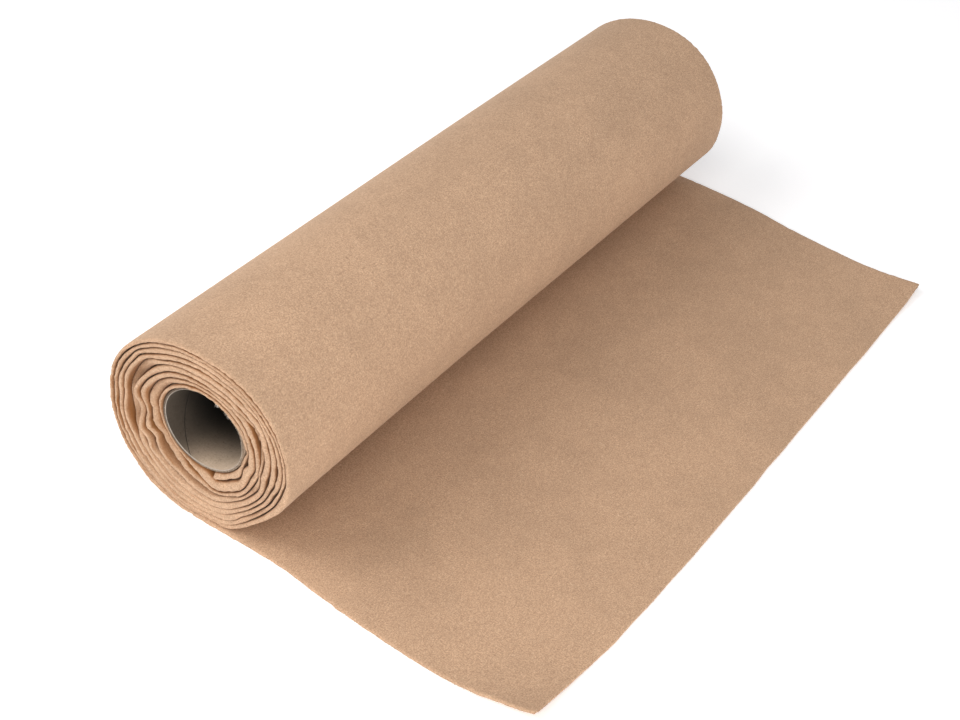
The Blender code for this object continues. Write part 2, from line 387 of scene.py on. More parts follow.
farPockets = [
    (160, 40, 3, 2.4), (182, 12, 4, 0.8), (205, 16, 6, 1.9), (232, 20, 5, 0.9), (120, 24, 5, 0.5),
    (20, 30, 4, 1.7), (-8, 10, 3, 1.1), (-34, 22, 6, 1), (75, 26, 2, 0.4), (-60, 14, 8, 0.8),
    (262, 20, 3, 0.5),
]

# Which turns swell most where there is room, by the turns from the loose end.
loftByTurn = [
    (0, 0.7), (2, 0.75), (3.4, 0.9), (4.2, 1.2), (5.2, 1.3), (6.2, 1.3), (7.1, 1), (8, 0.7),
    (8.55, 0.8), (8.7, 3.2), (8.86, 3.2),
]

# How far the innermost turn stands off the core, in millimetres, by the turns from its end.
innerBuckle = [
    (-1, 4.6), (-0.985, 2.2), (-0.965, 0.9), (-0.93, 0.6), (-0.89, 0.4), (-0.8, 0.4), (-0.6, 0.2),
    (-0.26, 0.1), (-0.235, 0.2), (-0.21, 1.3), (-0.185, 0.2), (-0.1, 0.1), (-0.05, 0.4), (0, 0.2),
]

# How far the ends of some turns sit back, in the same form with the depth last. The first is the
# long crescent at the upper left, the fourth the lens at the right.
nearRecess = [
    (153, 31, 4, 2.6), (192, 24, 4, 2.4), (186, 16, 5, 1.4), (22, 30, 5, 2.6), (-30, 18, 5, 0.9),
    (178, 30, 6, 0.6), (150, 42, 7, 1.3), (214, 50, 7, 1.6), (200, 70, 8, 1.3), (6, 42, 8, 0.6),
    (-40, 20, 1, 1.1), (12, 18, 2, 0.5),
]

# How much each end opens out beyond the roll's middle, in millimetres.
flare = {
    "near": dict(up=1.5, right=1.1, left=-0.5),
    "far": dict(up=-0.6, right=-0.2, left=0.0),
    "reach": 0.16,
}


# The roll's swell and sag past the plain outline: angle, then millimetres near and far.
swellByAngle = [
    (-125, 0, 0), (-80, 0, 0), (-66, -0.5, -0.2), (-52, -1.6, -0.6), (-38, -1.6, 0.2), (-22, -0.6, 1.2),
    (-5, 0, 0.4), (25, 0.9, 0), (60, 1.1, 0.2), (90, 1.1, 0.3), (115, 2.2, 0.7), (135, 3.1, 1),
    (155, 2.2, 0.6), (175, 0.5, 0.1), (192, 0, 0), (235, 0, 0),
]


def swellAt(angle, along):
    near, far = (readTable(swellByAngle, angle, column) * mm for column in (1, 2))
    return mix(near, far, (0.5 + 0.5 * along) ** 2)


def outlinePoint(angle, lifted):
    # the plain outline, lifted on to the loose end where the roll rests on it
    w = winding
    x = w["rollX"] + w["halfWidth"] * cos(angle)
    if sin(angle) >= 0:
        return x, w["midZ"] + (w["top"] - w["midZ"]) * sin(angle)
    ground = w["thick"] + w["restGap"] if lifted and cos(angle) > -1e-6 else 0.0
    drop = w["midZ"] - ground + w["flatSpot"]
    return x, max(ground, w["midZ"] + drop * sin(angle))


def spokeAt(angle, lifted=True):
    # from the outline straight in to the bore: start, direction and length
    w = winding
    x, z = outlinePoint(angle, lifted)
    toX = w["coreX"] + w["boreRadius"] * cos(angle) - x
    toZ = w["coreZ"] + w["boreRadius"] * sin(angle) - z
    length = hypot(toX, toZ)
    return x, z, toX / length, toZ / length, length


def windingSteps(lifted):
    # steps for each turn, the last step, and the angle and spoke of each step in a turn
    w = winding
    turn = w["stepsPerTurn"]
    angles = [radians(w["startAngle"] - 360 * part / turn) for part in range(turn)]
    spokes = [spokeAt(angle, lifted) for angle in angles]
    return turn, w["fullTurns"] * turn + w["lastSteps"], angles, spokes


def humpsAt(turnPlace, rows):
    # the sum of the rows' smooth humps, in metres
    height = 0.0
    for angle, reach, outside, most in rows:
        start = (winding["startAngle"] - angle) % 360 / 360
        off = abs(turnPlace - outside - start) * 360 / reach
        if off < 1:
            height += most * mm * (1 - smoothStep(off))
    return height


def loftWeight(turnPlace):
    loft = readTable(loftByTurn, turnPlace)
    loft *= 1 + 0.35 * sin(turnPlace * 2 * pi * 0.37) + 0.3 * sin(turnPlace * 2 * pi * 1.9)
    loft *= 1 + 0.5 * rough(turnPlace * 9.0, 3.1, 0.0)
    return max(0.05, loft) * smoothStep((turnPlace + 0.1) / 0.5)


def windFelt(pockets):
    # outer and inner face of the felt at each step, from the loose end's start to the core,
    # each point with its share of the way in to the core
    w = winding
    turn, last, angles, spokes = windingSteps(True)
    stretch = [1.0] * (last + 1)      # thickness along a spoke over the felt's own thickness
    lofts = [loftWeight(step / turn) for step in range(last + 1)]
    widths = [humpsAt(step / turn, pockets) for step in range(last + 1)]
    for settle in range(w["settleRounds"]):
        outer, inner = [None] * (last + 1), [None] * (last + 1)
        for part in range(turn):
            x, z, dirX, dirZ, length = spokes[part]
            steps = range(part, last + 1, turn)
            underSheet = angles[part] < -pi / 2 + 1e-9
            core = mm * readTable(innerBuckle, (steps[-1] - last) / turn)
            solid = sum(w["thick"] * stretch[step] for step in steps)
            solid += core + w["tightGap"] * (len(steps) - 1)
            depth = w["thick"] + w["restGap"] if underSheet else 0.0
            pocketed = sum(widths[step] for step in steps[0 if underSheet else 1:])
            spare = max(0.0, length - solid - depth)
            fit = min(1.0, spare / pocketed) if pocketed > 0 else 1.0
            swell = (spare - pocketed * fit) / sum(lofts[step] for step in steps)
            for order, step in enumerate(steps):
                if order > 0 or underSheet:
                    depth += widths[step] * fit
                thick = w["thick"] * stretch[step] + lofts[step] * swell
                outer[step] = (x + dirX * depth, z + dirZ * depth, depth / length)
                inside = depth + thick
                inner[step] = (x + dirX * inside, z + dirZ * inside, min(1.0, inside / length))
                depth = inside + w["tightGap"]
        for step in range(last + 1):
            before, after = outer[max(0, step - 1)], outer[min(last, step + 1)]
            runX, runZ = after[0] - before[0], after[1] - before[1]
            _, _, dirX, dirZ, _ = spokes[step % turn]
            square = abs(runX * dirZ - runZ * dirX) / max(1e-9, hypot(runX, runZ))
            stretch[step] = 0.5 * stretch[step] + 0.5 * min(w["mostStretch"], 1 / max(0.5, square))
    return outer, inner


def mergedShare(turnPlace):
    # 1 in the middle of the lower left, where the outer turns run together at the near end
    start = (winding["startAngle"] - winding["mergedAt"]) % 360 / 360
    off = ((turnPlace - start + 0.5) % 1.0 - 0.5) * 360 / winding["mergedReach"]
    return (1 - smoothStep(1.45 * abs(off) - 0.45)) * smoothStep(winding["mergedTurns"] - turnPlace)


def windNear():
    # the near end's turns from their tables, in the same form as windFelt
    w = winding
    start = w["startAngle"]
    turn, last, angles, spokes = windingSteps(False)
    edge = [((start - angle) / 360, out) for angle, out in nearOutline.items()]
    rows = []
    for outside, gap in enumerate(nearGaps, 1):
        for angle, deep in gap.items():
            length = spokeAt(radians(angle), False)[4]
            rows.append((outside + (start - angle) / 360, (1 - deep / 1000) * length))
    rises, gaps = [], []
    for step in range(last + 1):
        place = step / turn
        if step < turn:
            _, z, _, dirZ, length = spokes[step]
            rise = length + mm * readTable(edge, place)
            if -pi / 2 - 1e-9 < angles[step] < 0:
                height = z + dirZ * (length - rise)
                rise -= max(0.0, w["thick"] + w["restGap"] - height) / max(0.5, dirZ)
            rises.append(rise)
            gaps.append(0.0)
        else:
            rises.append(readTable(rows, place))
            gaps.append(mix(w["nearGap"], w["tightGap"], mergedShare(place)) + humpsAt(place, nearWide))
    outer, inner = [None] * (last + 1), [None] * (last + 1)
    thinnest = 1.0
    for part in range(turn):
        x, z, dirX, dirZ, length = spokes[part]
        ceiling = 1.0
        for step in range(part, last + 1, turn):
            place = step / turn
            rise = min(rises[step] - gaps[step] / 2, ceiling - w["tightGap"])
            below = step + turn
            if below <= last:
                low = rises[below] + gaps[below] / 2
            else:
                low = mm * readTable(innerBuckle, (step - last) / turn)
            full = readTable(nearFull, place) * mm
            full *= 1 + w["recessSwell"] * smoothStep(humpsAt(place, nearRecess) / w["recessDeep"])
            low = min(max(low, rise - full), rise - w["nearThinnest"])
            low = max(w["boreGap"], low)
            thinnest = min(thinnest, rise - low)
            for face, up in ((outer, rise), (inner, low)):
                face[step] = (x + dirX * (length - up), z + dirZ * (length - up), 1 - up / length)
            ceiling = low
    print("near end's thinnest turn", round(thinnest * 1000, 2), "mm")
    return outer, inner


# the loose end on the floor

loose = {
    "reach": looseBox[1].x - winding["rollX"],
    "halfWidth": 0.205,
    "skew": 0.06,                # how far the cut ends lean, in y for each x
    "arcRows": 24,
    "floorRows": 72,
}
# The loose end's side cuts: metres from the roll's middle, then how far the near and the far cut
# stand out, in millimetres.
sideEdges = [
    (-0.053, 3.2, -3.2), (0.005, 0.6, 3.6), (0.05, -0.2, 5.8), (0.082, 2.6, 5), (0.112, 4.5, 1.4),
    (0.155, 4.6, -0.8), (0.198, 1, -1.2),
]
# How far short the free edge falls, in millimetres, by the share across.
freeEdge = [
    (-1, 3.6), (-0.92, 3.2), (-0.72, 0.8), (-0.4, -0.8), (0.15, 0), (0.6, 0.9), (0.9, 1.4), (1, 2.2),
]
# The free corners' curls at the near and the far side: height and reach.
cornerCurls = {-1: (0.0085, 0.060), 1: (0.0040, 0.048)}


def curlHeight(fromFree, fromSide, side):
    height, reach = cornerCurls[side]
    away = (max(0.0, fromFree) + max(0.0, fromSide)) / reach
    return height * max(0.0, 1 - away) ** 2


# the whole felt as one strip, from the free edge in to the core

strip = {
    "endColumns": [0.0021, 0.0042, 0.0085, 0.017],   # in from each cut end
    "middleColumns": 22,
    "middleFrom": 0.028,         # how far in from the ends these start
    "middleKept": 3,             # inside the roll only every so many of these are kept
    "followEnd": 0.020,          # how far in from a cut end its cut, its recesses and its
    "recessDepth": 0.015,        # pockets are felt
    "pocketDepth": 0.017,
    "rowStep": 0.00105,
    "freeStart": -0.26,          # the free edge's place along the felt
    "freeRounding": [(0.0, 0.36), (0.0003, 0.12), (0.0009, 0.02), (0.0025, 0.0)],
    "innerPinch": 0.30,
    "roundness": 0.75,           # of the loose end's cuts
    "endWander": 0.0010,
    "endRagged": 0.00034,
    "faceRagged": 0.00014,
    "lump": 0.00044,
    "outermost": 0.98,           # turns from the loose end up to which the felt's outside shows
    "hidden": 1.03,              # and from which it is inside the roll
    "gapShade": 0.15,            # least painted shade between turns, and on rims where turns run together
    "rimShade": 0.06,
    "shaded": 0.75,              # how much painted shade darkens the rims' sides, and the angle where it is most
    "shadedAt": 205,
    "recessShade": 0.0052,       # depth of a recess that gets the painted shade in full
}
rimLevels = [(0.02, 1.05), (0.08, 0.50), (0.21, 0.13), (0.52, 0.0), (0.86, 0.26), (0.98, 1.05)]
rimPaintedShade = [0.95, 0.28, 0.0, 0.0, 0.14, 0.88]        # how much painted shade each of those levels gets


def acrossPlaces():
    # for each column: share of the half width, distance in from its cut end, the end's side,
    # and whether inner turns keep it
    half = loose["halfWidth"]
    count = strip["middleColumns"]
    reach = half - strip["middleFrom"]
    near = [dict(share=-(1 - d / half), inside=d, side=-1, kept=True) for d in strip["endColumns"]]
    middle = []
    for i in range(count):
        y = -reach + 2 * reach * i / (count - 1)
        middle.append(dict(share=y / half, inside=half - abs(y), side=-1 if y < 0 else 1,
                           kept=i % strip["middleKept"] == 0))
    far = [dict(place, share=-place["share"], side=1) for place in reversed(near)]
    return near + middle + far


def rimRoundness(turnPlace, travel, side):
    # 1 where a turn's cut end is rounded and stands apart, near 0 where the turns run together
    uneven = 1 + 0.5 * rough(travel * 55, side * 3.0, 1.0)
    merged = 0.85 * mergedShare(turnPlace)
    streak = rough(travel * 38, 8.0, side * 5.0)
    return max(0.10, uneven * (1 - merged * smoothStep(0.75 - 1.2 * streak)))


def openOut(x, z, share, place):
    # each end opens out a little beyond the roll's middle
    w = winding
    across = (x - w["rollX"]) / w["halfWidth"]
    up = max(0.0, (z - w["midZ"]) / (w["top"] - w["midZ"]))
    gainX, gainZ = 0.0, 0.0
    for side, end in ((-1, flare["near"]), (1, flare["far"])):
        away = loose["halfWidth"] * (1 - side * place["share"])
        fade = (1 - smoothStep(away / flare["reach"])) * (1 - share) * mm
        gainX += fade * (end["right"] * max(0.0, across) - end["left"] * max(0.0, -across))
        gainZ += fade * end["up"] * up
    return x + gainX, z + gainZ


def endY(x, side, travel, onFloor):
    fromMiddle = x - winding["rollX"]
    if onFloor:
        y = loose["halfWidth"] + mm * readTable(sideEdges, fromMiddle, 1 if side < 0 else 2)
    else:
        y = loose["halfWidth"] + side * loose["skew"] * fromMiddle
    y += wander(travel, 3 + side, strip["endWander"], 0.045) * (0.35 if onFloor else 1.0)
    y += wander(travel, 9 + side, strip["endRagged"], 0.0030)
    y += wander(travel, 15 + side, strip["endRagged"] * 0.8, 0.0013)
    return side * y


def stripFaces(rings):
    faces = []
    for one, two in zip(rings, rings[1:]):
        keys = dict(two)
        bound = [i for i, (key, vert) in enumerate(one) if key in keys]
        for a, b in zip(bound, bound[1:] + [bound[0] + len(one)]):
            near = [one[i % len(one)] for i in range(a, b + 1)]
            faces.append([vert for key, vert in near] + [keys[near[-1][0]], keys[near[0][0]]])
    for ring, flip in ((rings[0], False), (rings[-1], True)):
        sides = {}
        for (part, index), vert in ring:
            sides.setdefault(part, {})[index] = vert
        outer, inner = sides["outer"], sides["inner"]
        order = sorted(outer)
        farRim, nearRim = ([sides[part][i] for i in sorted(sides[part])] for part in ("farRim", "nearRim"))
        caps = [[outer[i], inner[i], inner[j], outer[j]] for i, j in zip(order, order[1:])]
        caps.append([outer[order[-1]], inner[order[-1]]] + farRim[::-1])
        caps.append([inner[order[0]], outer[order[0]]] + nearRim)
        faces += [cap[::-1] if flip else cap for cap in caps]
    return faces


def buildStrip(material):
    w, s = winding, strip
    sections = [windNear(), windFelt(bodyPockets), windFelt(farPockets)]
    places = acrossPlaces()
    ends = {side: dict(share=float(side), inside=0.0, side=side) for side in (-1, 1)}
    even = {side: s["roundness"] for side in ends}
    flush = {side: 0.0 for side in ends}
    verts, paintedShades, rings = [], [], []

    def addRow(pointAt, travel, onFloor=False, pinch=0.0, roundness=even, recess=flush, wide=True,
               shadePainter=lambda key, side: 0.0):
        # pointAt gives x and z for a place and a level, pinch thins a cut edge, and the last argument
        # gives the painted shade at each point
        ring = []

        def put(place, inside, level, key):
            side = place["side"]
            paintedShades.append(shadePainter(key, side))
            x, z = pointAt(place, pinch + (1 - 2 * pinch) * level)
            edge = endY(x, side, travel, onFloor)
            if place["inside"] > s["followEnd"]:
                y = place["share"] * abs(edge)
            else:
                back = recess[side] * (1 - smoothStep(place["inside"] / s["recessDepth"]))
                y = edge - side * (inside + back)
            if onFloor:
                z += abs(rough(travel * 30, y * 26, 4.0)) * s["lump"] * level
            elif level not in (0.0, 1.0):
                x += s["faceRagged"] * rough(travel * 700, level * 3, side)
                z += s["faceRagged"] * rough(travel * 700, level * 3, side + 9)
                y -= side * s["endRagged"] * rough(travel * 620, level * 4, side + 20)
            ring.append((key, len(verts)))
            verts.append((x, y, z))

        columns = [(index, place) for index, place in enumerate(places) if wide or place["kept"]]
        rims = list(enumerate(rimLevels))
        for index, place in columns:
            put(place, place["inside"], 0.0, ("outer", index))
        for index, (level, inside) in rims:
            put(ends[1], inside * mm * roundness[1], level, ("farRim", index))
        for index, place in reversed(columns):
            put(place, place["inside"], 1.0, ("inner", index))
        for index, (level, inside) in reversed(rims):
            put(ends[-1], inside * mm * roundness[-1], level, ("nearRim", index))
        rings.append(ring)

    # floor part, from the free edge to under the roll
    rows, full = loose["floorRows"], loose["reach"]
    stops = list(s["freeRounding"])
    rounded = stops[-1][0]
    stops += [(rounded + (full - 0.0005) * (i / rows), 0.0) for i in range(1, rows + 1)]
    for inside, pinch in stops:

        def floorPoint(place, level):
            share = place["share"]
            reach = full - mm * readTable(freeEdge, share)
            reach += wander(share, 21, 0.0004, 0.02) + wander(share, 22, 0.0005, 0.11)
            x = w["rollX"] + reach - inside - (reach - full) * inside / full
            lift = curlHeight(inside, loose["halfWidth"] * (1 - abs(share)), place["side"])
            return x, level * w["thick"] + lift

        addRow(floorPoint, s["freeStart"] + inside, True, pinch)

    # up the roll's lower left, to the first turn
    arcFrom = -pi / 2 - radians(2.5)
    arcTo = radians(w["startAngle"] - 360)
    for row in range(loose["arcRows"]):
        angle = arcFrom + (arcTo - arcFrom) * row / loose["arcRows"]
        x, z, dirX, dirZ, _ = spokeAt(angle)

        def arcPoint(place, level):
            deep = w["thick"] * level
            return openOut(x + dirX * deep, z + dirZ * deep, 0.0, place)

        addRow(arcPoint, w["halfWidth"] * (arcTo - angle))

    # the turns, thinned to about even steps
    nearOuter = sections[0][0]
    last = len(nearOuter) - 1
    travelled, since = 0.0, 1.0
    for step in range(last + 1):
        before = nearOuter[max(0, step - 1)]
        run = hypot(nearOuter[step][0] - before[0], nearOuter[step][1] - before[1])
        travelled += run
        since += run
        if since < s["rowStep"] and step < last:
            continue
        since = 0.0
        turnPlace = step / w["stepsPerTurn"]
        angle = w["startAngle"] - 360 * (turnPlace % 1.0)
        _, _, dirX, dirZ, _ = spokeAt(radians(angle))

        def woundPoint(place, level):
            near, body, far = ((section[0][step], section[1][step]) for section in sections)
            end = near if place["side"] < 0 else far
            t = 1 - smoothStep(place["inside"] / s["pocketDepth"])
            outer, inner = ([mix(b, e, t) for b, e in zip(body[face], end[face])] for face in (0, 1))
            x, z, share = (mix(o, i, level) for o, i in zip(outer, inner))
            # the near end's table holds its own swell
            swell = swellAt(angle, place["share"]) * (1 - share) * (1 - t if place["side"] < 0 else 1.0)
            return openOut(x - dirX * swell, z - dirZ * swell, share, place)

        roundness = {side: rimRoundness(turnPlace, travelled, side) for side in ends}
        recess = {-1: humpsAt(turnPlace, nearRecess), 1: 0.0}
        apart = 1 - mergedShare(turnPlace)
        # painted shade on the rims' sides, widest at the near end's left
        facing = smoothStep((cos(radians(angle - s["shadedAt"])) - 0.1) / 0.6)
        paintedSideShade = facing * s["shaded"] * max(0.0, 0.5 + 0.9 * rough(travelled * 110, 12.0, turnPlace * 0.4))
        outermost = turnPlace < s["outermost"]

        def paintedShadeAt(key, side):
            # painted shade at a point, from 0 to 1: between the turns, on the rims and in recessed ends
            part, index = key
            if part in ("outer", "inner"):
                return 0.0 if part == "outer" and outermost else mix(s["gapShade"], 1.0, apart)
            shaded = rimPaintedShade[index] * mix(s["rimShade"], 1.0, apart)
            if index in (1, 4):
                shaded += paintedSideShade
            if outermost and index < 2:
                shaded = 0.0
            # painted shade in a recessed end, at most half
            return max(shaded, min(0.5, recess[side] / s["recessShade"]))

        addRow(woundPoint, travelled, False, s["innerPinch"] if step == last else 0.0, roundness, recess,
               turnPlace < s["hidden"], paintedShadeAt)
    print("felt rows", len(rings), "wound length", round(travelled, 3), "verts", len(verts))

    felt = linkMesh("felt", verts, stripFaces(rings), material)
    faceOutwards(felt)
    # the painted shade is stored on each point for the felt's material
    felt.data.attributes.new("paintedGapShade", "FLOAT", "POINT").data.foreach_set("value", paintedShades)
    return felt, rings


# loose fibres along the cut edges

fuzz = {
    "endFibres": 24000,
    "sheetFibres": 7000,
    "freeShare": 0.45,           # share of the sheet's fibres that stand along its free edge
    "length": (0.00018, 0.0008),
    "longShare": 0.05,
    "longer": 1.9,
    "width": (0.00005, 0.00012),
    "rootDepth": 0.00012,
    "sway": 0.55,
    "seed": 41,
}


def addFibre(verts, faces, root, aim, length, width, rng):
    # a closed spike with three sides
    aim = aim.normalized()
    side = aim.orthogonal().normalized()
    other = aim.cross(side)
    turn = rng.uniform(0, 2 * pi)
    start = len(verts)
    base = root - aim * fuzz["rootDepth"]
    for k in range(3):
        a = turn + k * 2 * pi / 3
        verts.append(base + (side * cos(a) + other * sin(a)) * width)
    verts.append(root + aim * length)
    for vert in verts[start:]:
        vert.z = max(0.0, vert.z)
    faces += [(start, start + 2, start + 1), (start, start + 1, start + 3),
              (start + 1, start + 2, start + 3), (start + 2, start, start + 3)]


def buildFuzz(name, felt, rings, material, count, wound, seed):
    rng = random.Random(seed)
    coords = [v.co.copy() for v in felt.data.vertices]
    lookups = [dict(ring) for ring in rings]
    freeEnd = [vert for (part, index), vert in rings[0] if part == "outer"]
    floorRings = loose["floorRows"] + len(strip["freeRounding"])
    span = (floorRings, len(rings) - 1) if wound else (0, floorRings)
    verts, faces = [], []
    for made in range(count):
        index = rng.randrange(*span)
        part = "nearRim" if rng.random() < 0.5 else "farRim"
        level = rng.randrange(1, len(rimLevels) - 2)
        a, b = coords[lookups[index][(part, level)]], coords[lookups[index][(part, level + 1)]]
        c = coords[lookups[index + 1][(part, level)]]
        root = a + (b - a) * rng.random() + (c - a) * rng.random()
        if not wound and rng.random() < fuzz["freeShare"]:
            spot = min(len(freeEnd) - 2, int(rng.random() * (len(freeEnd) - 1)))
            one, two = coords[freeEnd[spot]], coords[freeEnd[spot + 1]]
            root = one + (two - one) * rng.random() + Vector((0, 0, rng.uniform(0, 0.0006)))
            aim = Vector((1.0, rng.gauss(0, 0.6), rng.gauss(0.1, 0.4)))
        else:
            side = -1 if part == "nearRim" else 1
            aim = Vector((rng.gauss(0, fuzz["sway"]), side, rng.gauss(0, fuzz["sway"])))
        if not wound:
            aim.z = abs(aim.z) * 0.6
        length = rng.uniform(*fuzz["length"])
        length *= fuzz["longer"] if rng.random() < fuzz["longShare"] else 1.0
        addFibre(verts, faces, root, aim, length, rng.uniform(*fuzz["width"]) / 2, rng)
    print(name, len(faces), "faces")
    return linkMesh(name, verts, faces, material)


felt, feltRings = buildStrip(makeFelt("beigeFelt", feltLook))
fibreMaterial = makeFelt("looseFibre", feltLook, 1.12)
endFuzz = buildFuzz("endFuzz", felt, feltRings, fibreMaterial, fuzz["endFibres"], True, fuzz["seed"])
edgeFuzz = buildFuzz("edgeFuzz", felt, feltRings, fibreMaterial, fuzz["sheetFibres"], False,
                     fuzz["seed"] + 1)
for piece in (felt, endFuzz, edgeFuzz):
    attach(piece, bodyName)
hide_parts("felt_roll", "loose_end")
print("felt made", len(felt.data.polygons))


# the cardboard core

board = {
    "inside": 0.0219,
    "wall": 0.0013,
    "turnColumns": 216,
    "fineRows": 60,
    "fineReach": 0.042,          # how far in from the near end the surface is made fine
    "coarseRows": 24,
    "outerRows": [0.995, 0.8, 0.6, 0.4, 0.2, 0.005],
    "setBack": 0.0008,           # how far the rim sits back from the felt's plain end
    "seamPitch": 0.084,          # the paper strip's advance for each turn
    "seamAngle": -109.6,         # where the seam meets the depth below
    "seamDepth": 0.0008,
    "seamWidth": 0.00045,
    "groove": 0.00022,
    "grooveReach": 0.05,
    "boreRough": 0.00006,
    # across the wall, and how many millimetres each ply sits back
    "plies": [(0.0, 0.20), (0.18, 0.016), (0.36, 0.128), (0.55, 0.0), (0.74, 0.144), (0.90, 0.032),
              (1.0, 0.24)],
    "rimRough": 0.00010,
    "tornRough": 0.00035,
    "tornBack": 0.0003,
    "tornFrom": 5,               # degrees between which the rim is torn, and how fast that fades
    "tornTo": 85,
    "tornFade": 12,
    "tufts": [(68, 1.6), (50, 2.4)],   # angle and spread of the torn fibres
    "fluff": 260,
    "tornShare": 0.2,
    "fluffLong": (0.0006, 0.0018),     # in the tufts, and elsewhere
    "fluffShort": (0.0002, 0.0005),
    "fluffDark": (0.42, 0.36, 0.30),
    "fluffLight": (0.70, 0.64, 0.57),
    "paper": (0.250, 0.186, 0.132),
    "paperLight": (0.370, 0.288, 0.214),
    "paintedBoreShadeReach": 0.0185,        # how far in the bore's painted shade reaches, and how bright its painted light starts at the ends
    "paintedBoreLightStart": 1.60,
    "rimColor": (0.14, 0.098, 0.068),
    "rimPale": (0.40, 0.35, 0.30),
    "speck": (0.07, 0.05, 0.035),
    "seamColor": (0.050, 0.036, 0.026),
}


def seamOff(angle, deep):
    # distance along the tube from the nearest turn of the seam
    b = board
    turns = (deep - b["seamDepth"]) / b["seamPitch"] - (b["seamAngle"] - degrees(angle)) / 360
    return abs(turns - round(turns)) * b["seamPitch"]


def buildCore(material):
    b, w, half = board, winding, loose["halfWidth"]
    rest = 2 * half - b["fineReach"]
    fine = [b["fineReach"] * (i / b["fineRows"]) for i in range(2, b["fineRows"] + 1)]
    coarse = [b["fineReach"] + rest * (i / b["coarseRows"]) for i in range(1, b["coarseRows"])]
    profile = [("in", deep) for deep in fine + coarse]
    profile += [("farRim", ply) for ply in b["plies"]]
    profile += [("out", 2 * half * share) for share in b["outerRows"]]
    profile += [("nearRim", ply) for ply in reversed(b["plies"])]
    verts, faces = [], []
    columns, size = b["turnColumns"], len(profile)
    for column in range(columns):
        angle = 2 * pi * column / columns
        if angle > pi:
            angle -= 2 * pi
        torn = smoothStep((degrees(angle) - b["tornFrom"]) / b["tornFade"])
        torn *= smoothStep((b["tornTo"] - degrees(angle)) / b["tornFade"])
        for kind, value in profile:
            if kind == "in":
                near = -half + value * (1 - 0.0008) if value > fine[0] else -half + b["setBack"] + 0.0006
                radius = b["inside"] + b["boreRough"] * rough(angle * 7, value * 160, 5.0)
                if value < b["grooveReach"]:
                    radius += b["groove"] * max(0.0, 1 - seamOff(angle, value) / b["seamWidth"])
            elif kind == "out":
                near = -half + value * (1 - 0.0008)
                radius = b["inside"] + b["wall"]
            else:
                ply, plyBack = value
                radius = b["inside"] + b["wall"] * ply
                back = plyBack * mm + b["rimRough"] * rough(angle * 14, ply * 5, 2.0)
                if kind == "nearRim":
                    back += torn * (b["tornBack"] - b["tornRough"] * rough(angle * 30, ply * 6, 7.0))
                back = max(0.0, back + b["setBack"])
                near = back - half if kind == "nearRim" else half - back
            x = w["coreX"] + radius * cos(angle)
            verts.append((x, near + loose["skew"] * (x - w["rollX"]), w["coreZ"] + radius * sin(angle)))
        ahead = (column + 1) % columns
        for i in range(size):
            j = (i + 1) % size
            faces.append((column * size + i, column * size + j, ahead * size + j, ahead * size + i))
    core = linkMesh("coreBoard", verts, faces, material)
    faceOutwards(core)
    return core


def makeBoard():
    b, w = board, winding
    material, tree, shader = newMaterial("woundBoard", {"Roughness": 0.82, "Specular IOR Level": 0.3})
    place = objectPlace(tree)
    split = addNode(tree, "ShaderNodeSeparateXYZ", {0: place})
    fromX = minus(tree, split["X"], w["coreX"])
    fromZ = minus(tree, split["Z"], w["coreZ"])
    lean = times(tree, minus(tree, split["X"], w["rollX"]), loose["skew"])
    deep = minus(tree, plus(tree, split["Y"], loose["halfWidth"]), lean)
    turns = addMath(tree, "DIVIDE", addMath(tree, "ARCTAN2", fromZ, fromX), 2 * pi)
    along = addMath(tree, "DIVIDE", minus(tree, deep, b["seamDepth"]), b["seamPitch"])
    phase = plus(tree, plus(tree, along, turns), 0.5 - b["seamAngle"] / 360)
    off = addMath(tree, "ABSOLUTE", minus(tree, addMath(tree, "FRACT", phase), 0.5))
    wobble = times(tree, addNoise(tree, place, 900.0), 0.25)
    fromSeam = plus(tree, times(tree, off, b["seamPitch"] * 1000), wobble)      # in millimetres
    seam = addRange(tree, fromSeam, 0.22, 0.42, 1.0, 0.0)
    fibres = placeGroup(tree, fibreGroup, Size=0.9, Streaks=0.7)
    shade = placeGroup(tree, mottleGroup, Reach=0.012)["Shade"]
    tone = plus(tree, times(tree, fibres["Grain"], 0.6), times(tree, shade, 0.4))
    color = addMix(tree, tone, b["paper"], b["paperLight"])
    color = addMix(tree, times(tree, fibres["Dark Flecks"], 0.55), color, b["speck"])
    radius = addMath(tree, "SQRT", plus(tree, times(tree, fromX, fromX), times(tree, fromZ, fromZ)))
    inBore = addRange(tree, radius, b["inside"] + 0.00035, b["inside"] + 0.0002)
    color = addMix(tree, times(tree, seam, inBore), color, b["seamColor"])

    # painted shade and light: the bore darkens away from its ends, least on the side that faces the light,
    # and near the ends on that side it is painted brighter than its paper
    farDeep = addMath(tree, "ABSOLUTE", minus(tree, deep, 2 * loose["halfWidth"]))
    fromEnd = addMath(tree, "MINIMUM", addMath(tree, "ABSOLUTE", deep), farDeep)
    inShare = addMath(tree, "DIVIDE", fromEnd, b["paintedBoreShadeReach"])
    paintedBoreShade = addMath(tree, "EXPONENT", times(tree, times(tree, inShare, inShare), -1.0))
    faced = minus(tree, times(tree, fromX, 0.75), times(tree, fromZ, 0.66))
    lit = addMath(tree, "POWER", addRange(tree, faced, -0.016, b["inside"] + 0.0016), 2.0)
    lit = addRange(tree, lit, 0.0, 1.0, 0.15, 1.20)
    color = dimColor(tree, color, times(tree, times(tree, paintedBoreShade, b["paintedBoreLightStart"]), lit))

    # the cut rims, pale at their inner edge
    rim = addRange(tree, fromEnd, 0.0011, 0.0013, 1.0, 0.0)
    rim = times(tree, rim, addRange(tree, fibres["Grain"], 0.0, 0.8, 0.55, 1.0))
    pale = addRange(tree, radius, b["inside"] + 0.00012, b["inside"] + 0.00034, 1.0, 0.0)
    edge = addMix(tree, pale, b["rimColor"], b["rimPale"])
    feed(tree, addMix(tree, rim, color, edge), shader.inputs["Base Color"])
    addBump(tree, shader, plus(tree, fibres["Height"], times(tree, seam, -0.8)), 0.35, 0.0002)
    return material


